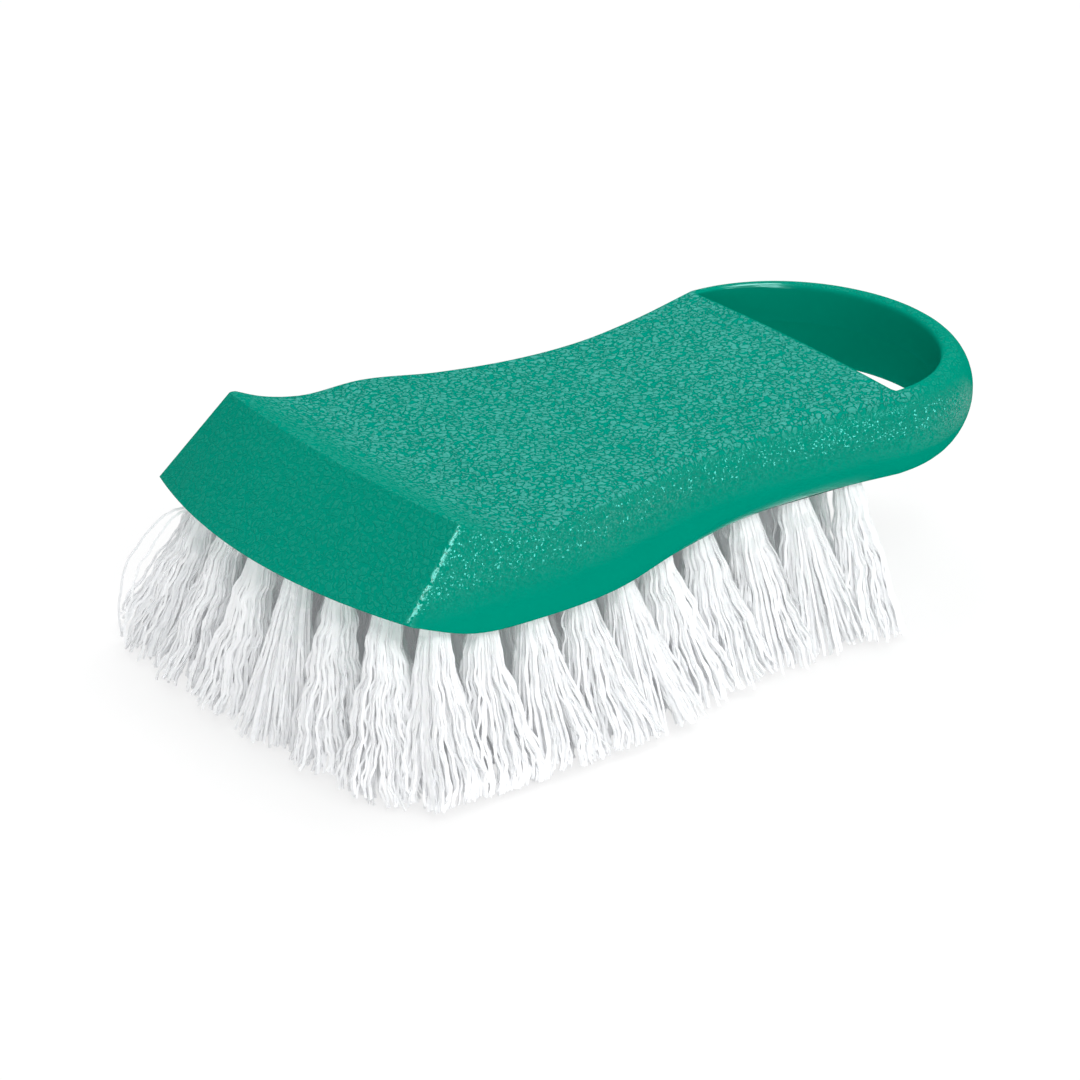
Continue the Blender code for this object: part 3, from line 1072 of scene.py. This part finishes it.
@dataclass
class FilamentBundle:
    """Filaments of a tuft, each a thin three-sided rod laid along its own wavy line."""

    finish: Filament = field(default_factory=Filament)
    count: int = 150
    sides: int = 3
    segments: int = 24
    radius: float = 0.00026
    root_radius: float = 0.00232
    hidden: float = 0.0020
    fan: float = 1.48
    fan_power: float = 1.1
    fan_spread: float = 0.07
    shell_power: float = 0.30
    lean: tuple = (-0.0020, 0.0036)
    lean_power: float = 1.5
    least_tilt: float = 0.2
    drift: float = 0.035
    drift_from: float = -0.020
    along_row: float = 0.25
    heel_x: float = 0.030
    heel_fan: float = 0.25
    crimp: float = 0.00020
    crimp_heights: tuple = (0.5, 1.4)
    crimp_length: float = 0.0046
    crimp_spread: float = 0.05
    phase_slope: float = 1.0
    phase_spread: float = 0.3
    clump_phase: float = 0.5
    swing_spread: float = 0.3
    sway: float = 0.00030
    sway_length: float = 0.0110
    sway_spread: float = 0.6
    bend: float = 0.0005
    clumps: int = 16
    clump_pull: float = 0.28
    ragged: float = 0.0005
    clump_ragged: float = 0.0012
    lowest: float = 0.0004
    highest: float = 0.0045
    box_margin: float = 0.0021
    strays: dict = field(default_factory=lambda: {"tuft_01_6": (0.0068, 0.0046)})
    stray_arc: float = 2.6
    seed: int = 41

    def template(self) -> Piece:
        """Model one straight rod and array it, one copy for each filament.

        Returns:
            The rods, all in one place.
        """
        deselect()
        step = 1 / self.segments
        bpy.ops.mesh.primitive_circle_add(vertices=self.sides, radius=1, fill_type="NGON")
        rod = bpy.context.object
        bpy.ops.object.mode_set(mode="EDIT")
        bpy.ops.mesh.select_all(action="SELECT")
        for _ in range(self.segments):
            bpy.ops.mesh.extrude_region_move(TRANSFORM_OT_translate={"value": (0, 0, step)})
        bpy.ops.mesh.select_all(action="SELECT")
        bpy.ops.mesh.normals_make_consistent(inside=False)
        bpy.ops.object.mode_set(mode="OBJECT")
        rods = rod.modifiers.new("rods", "ARRAY")
        rods.count = self.count
        rods.use_relative_offset = False
        bpy.ops.object.modifier_apply(modifier=rods.name)
        return rod

    def lines(self, place: TuftPlace, chance: np.random.Generator) -> np.ndarray:
        """Centre lines of a tuft's filaments.

        Args:
            place: Where the tuft stands.
            chance: The tuft's own source of chance.

        Returns:
            An array of filaments, points along each, and x, y and z.
        """
        number = np.arange(self.count)
        turn = number * math.pi * (3 - math.sqrt(5))
        out = np.sqrt((number + 0.5) / self.count)
        shell = out ** (2 * self.shell_power)
        mouth = np.array(place.root)
        down = -np.array(place.axis)
        first = np.cross(down, (0.0, 1.0, 0.0))
        first /= np.linalg.norm(first)
        frame_axes = np.array((first, np.cross(down, first)))
        bearing = np.stack((np.cos(turn), np.sin(turn)), axis=1)
        length = place.root.z / abs(down[2])
        run = np.linspace(0, length, self.segments)
        run = np.concatenate(((-self.hidden,), run))
        free = np.clip(run / length, 0, 1)

        reach = self.fan * place.reach * chance.normal(1.0, self.fan_spread, self.count)
        spread = bearing[:, None, :] * (
            out[:, None] * self.root_radius * (1 - free)
            + (shell * reach)[:, None] * free**self.fan_power
        )[:, :, None]
        bend = chance.normal(0, self.bend, (self.count, 1, 2)) * (free**2)[None, :, None]
        offset = spread + bend

        heads = chance.choice(self.count, self.clumps, replace=False)
        tips = offset[:, -1]
        clump = np.argmin(np.linalg.norm(tips[:, None] - tips[heads][None], axis=2), axis=1)
        pull = (tips[heads][clump] - tips)[:, None, :] * (free**3)[None, :, None]
        offset = offset + self.clump_pull * pull

        slope = chance.normal(0, self.phase_slope, 2)
        phase = chance.uniform(0, 2 * math.pi) + bearing * out[:, None] @ slope
        phase = phase + chance.uniform(-self.clump_phase, self.clump_phase, self.clumps)[clump]
        phase = phase + chance.normal(0, self.phase_spread, self.count)
        swing = chance.uniform(0, math.pi) + chance.normal(0, self.swing_spread, self.count)
        pitch = self.crimp_length * chance.normal(1.0, self.crimp_spread, self.count)
        height = self.crimp * chance.uniform(*self.crimp_heights, self.count)
        wave = np.sin(2 * math.pi * run / pitch[:, None] + phase[:, None]) * height[:, None]
        late = chance.uniform(0, 2 * math.pi) + chance.normal(0, self.sway_spread, self.clumps)[clump]
        slow = 2 * math.pi * run / self.sway_length + late[:, None]
        wave = wave + np.sin(slow) * self.sway
        wave = wave * np.clip(run / self.crimp_length, 0, 1)
        side = np.stack((np.cos(swing), np.sin(swing)), axis=1)
        offset = offset + side[:, None, :] * wave[:, :, None]

        lines = mouth + run[:, None] * down + offset @ frame_axes
        away = np.array((-place.axis.x, -place.axis.y, 0.0))
        outward = away.copy()
        if place.root.x > self.heel_x:
            beyond = np.clip(lines[:, :, 0] - place.root.x - self.root_radius * out[:, None], 0, None)
            lines[:, :, 0] -= (1 - self.heel_fan) * beyond
            outward[0] = 0.0
        outward = outward / max(np.linalg.norm(outward), self.least_tilt)
        lines[:, :, :2] += (outward[:2] * self.lean) * (free**self.lean_power)[:, None]
        lines[:, :, 0] -= self.drift * max(place.root.x - self.drift_from, 0.0) * free**self.lean_power
        row = np.array((-outward[1], outward[0], 0.0))
        beside = (lines - mouth - run[:, None] * down) @ row
        lines = lines + self.along_row * (beside * free)[:, :, None] * row
        strays = self.strays.get(place.node, ())
        if strays:
            away /= np.linalg.norm(away)
            furthest = np.argsort(-(lines[:, 1] @ away))
            for filament, stray in zip(furthest, strays):
                lines[filament] += away * stray * (self.stray_arc * np.sqrt(free) * (1 - free))[:, None]

        low, high = (np.array(corner)[:2] for corner in CAD_BOX)
        lines[:, :, :2] = np.clip(lines[:, :, :2], low - self.box_margin, high + self.box_margin)
        tip = self.lowest + chance.uniform(0, self.clump_ragged, self.clumps)[clump]
        tip = np.clip(tip + chance.exponential(self.ragged, self.count), self.lowest, self.highest)
        top, end = lines[:, :1, 2], lines[:, -1:, 2]
        lines[:, :, 2] = top - (top - lines[:, :, 2]) / (top - end) * (top - tip[:, None])
        return lines

    def rods(self, template: Piece, lines: np.ndarray, chance: np.random.Generator) -> np.ndarray:
        """Places of the rods' corners.

        Args:
            template: The straight rods.
            lines: The centre lines.
            chance: The tuft's own source of chance.

        Returns:
            One row of x, y and z for each corner of the template.
        """
        rest = coordinates(template)[: self.sides * (self.segments + 1)]
        level = np.rint(rest[:, 2] * self.segments).astype(int)
        angle = np.arctan2(rest[:, 1], rest[:, 0])
        tangent = np.gradient(lines, axis=1)
        tangent /= np.linalg.norm(tangent, axis=2, keepdims=True)
        first = np.cross(tangent, (0.0, 1.0, 0.0))
        first /= np.linalg.norm(first, axis=2, keepdims=True)
        second = np.cross(tangent, first)
        turn = angle[None, :] + chance.uniform(0, 2 * math.pi, len(lines))[:, None]
        offset = np.cos(turn)[:, :, None] * first[:, level] + np.sin(turn)[:, :, None] * second[:, level]
        return (lines[:, level] + self.radius * offset).reshape(-1, 3)

    def build(self, template: Piece, place: TuftPlace, finish: bpy.types.Material, seed: int) -> None:
        """Lay one tuft's filaments.

        Args:
            template: The straight rods.
            place: Where the tuft stands.
            finish: The filaments' material.
            seed: The tuft's number, from which its chance is drawn.
        """
        chance = np.random.default_rng(self.seed + seed)
        piece = template.copy()
        piece.data = template.data.copy()
        piece.name = f"{place.node}_filaments"
        piece.data.name = piece.name
        bpy.context.scene.collection.objects.link(piece)
        lay(piece, self.rods(template, self.lines(place, chance), chance))
        piece.data.materials.clear()
        piece.data.materials.append(finish)
        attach(piece, ROOT_BODY)
        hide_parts(place.node)
        log.info("%s: %d filaments, tips reach %.1f mm", piece.name, self.count, place.reach * 1000)


@dataclass(frozen=True)
class Lamp:
    """A softbox: its place, its two sides and its power in watts."""

    place: tuple
    size: tuple
    power: float


@dataclass
class Studio:
    """The floor, the lamps and the camera."""

    floor_size: float = 6.0
    floor_colour: tuple = (0.93, 0.93, 0.93, 1.0)
    floor_white_share: float = 0.75
    room_level: float = 0.32
    back_level: float = 0.60
    back_turn: float = 0.6
    back_span: tuple = (0.2, 1.0)
    aim_height: float = 0.02
    camera_place: tuple = (-0.4911, -0.6513, 0.3918)
    camera_target: tuple = (-0.01055, 0.0, 0.01715)
    camera_roll: float = -0.108
    focal_length: float = 174.04
    sensor: float = 36.0
    lamps: dict = field(
        default_factory=lambda: {
            Softbox.KEY: Lamp((0.30, -0.96, 0.66), (0.42, 0.24), 2.7),
            Softbox.TOP: Lamp((0.40, 0.25, 1.15), (0.9, 0.9), 10.5),
            Softbox.NOSE: Lamp((-0.38, -0.73, 0.87), (0.36, 0.36), 3.4),
            Softbox.FRONT: Lamp((-0.85, -0.95, 0.25), (0.5, 0.5), 2.8),
        }
    )

    def build_floor(self) -> None:
        """Lay the pale floor, which looks white and keeps the brush's shadow."""
        deselect()
        bpy.ops.mesh.primitive_plane_add(size=self.floor_size, location=(0, 0, 0))
        floor = bpy.context.object
        floor.name = "floor"
        material, graph = new_material("pale_floor")
        path = graph.node("ShaderNodeLightPath", {}, {})
        camera, glossy, through = (
            Signal(graph, path.outputs[f"Is {kind} Ray"]) for kind in ("Camera", "Glossy", "Transmission")
        )
        seen = camera.most(glossy).most(through) * self.floor_white_share
        matt = graph.node("ShaderNodeBsdfDiffuse", {}, {"Color": self.floor_colour}).outputs[0]
        white = graph.node("ShaderNodeEmission", {}, {"Strength": 1.0}).outputs[0]
        clear = graph.node("ShaderNodeBsdfTransparent", {}, {}).outputs[0]
        below = graph.node("ShaderNodeNewGeometry", {}, {}).outputs["Backfacing"]
        shown = graph.mixed(below, graph.mixed(seen, matt, white), clear)
        graph.finish("ShaderNodeOutputMaterial", shown)
        floor.data.materials.append(material)

    def build_world(self) -> None:
        """Light the scene from all round, a little more from behind the brush."""
        world = bpy.data.worlds.new("studio")
        bpy.context.scene.world = world
        world.use_nodes = True
        graph = Graph(world.node_tree)
        direction = graph.node("ShaderNodeTexCoord", {}, {}).outputs["Generated"]
        parts = graph.node("ShaderNodeSeparateXYZ", {}, {0: direction})
        along, across = (Signal(graph, parts.outputs[axis]) for axis in "XY")
        behind = (along * self.back_turn + across).ramp(*self.back_span)
        level = behind * (self.back_level - self.room_level) + self.room_level
        light = {"Color": (1.0, 1.0, 1.0, 1.0), "Strength": level}
        room = graph.node("ShaderNodeBackground", {}, light)
        graph.finish("ShaderNodeOutputWorld", room.outputs[0])

    def build_lamps(self) -> None:
        """Hang the softboxes, each turned to the brush."""
        aim = Vector((0, 0, self.aim_height))
        for box, lamp in self.lamps.items():
            deselect()
            bpy.ops.object.light_add(type="AREA", location=lamp.place)
            light = bpy.context.object
            light.name = f"softbox_{box.value}"
            light.data.shape = "RECTANGLE"
            light.data.size, light.data.size_y = lamp.size
            light.data.energy = lamp.power
            light.rotation_mode = "QUATERNION"
            light.rotation_quaternion = (aim - Vector(lamp.place)).to_track_quat("-Z", "Y")

    def build_camera(self) -> None:
        """Set the camera at the photograph's viewing angle."""
        deselect()
        bpy.ops.object.camera_add(location=self.camera_place)
        camera = bpy.context.object
        aim = (Vector(self.camera_target) - Vector(self.camera_place)).to_track_quat("-Z", "Y")
        roll = Quaternion((0, 0, 1), math.radians(self.camera_roll))
        camera.rotation_mode = "QUATERNION"
        camera.rotation_quaternion = aim @ roll
        camera.data.sensor_width = self.sensor
        camera.data.lens = self.focal_length
        bpy.context.scene.camera = camera

    def build(self) -> None:
        """Set up the whole studio."""
        self.build_floor()
        self.build_world()
        self.build_lamps()
        self.build_camera()
        bpy.context.scene.view_settings.view_transform = "Standard"


def main() -> None:
    """Build the studio, the block and the tufts in order, and report each piece."""
    logging.basicConfig(level=logging.INFO, format="%(name)s: %(message)s")
    Studio().build()
    nodes = sorted(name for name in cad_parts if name.startswith("tuft_"))
    places = [TuftPlace.of(node) for node in nodes]
    Block().build(places)
    bundle = FilamentBundle()
    template = bundle.template()
    finish = bundle.finish.material()
    for seed, place in enumerate(places):
        bundle.build(template, place, finish, seed)
    bpy.data.objects.remove(template, do_unlink=True)


if __name__ == "__main__":
    main()
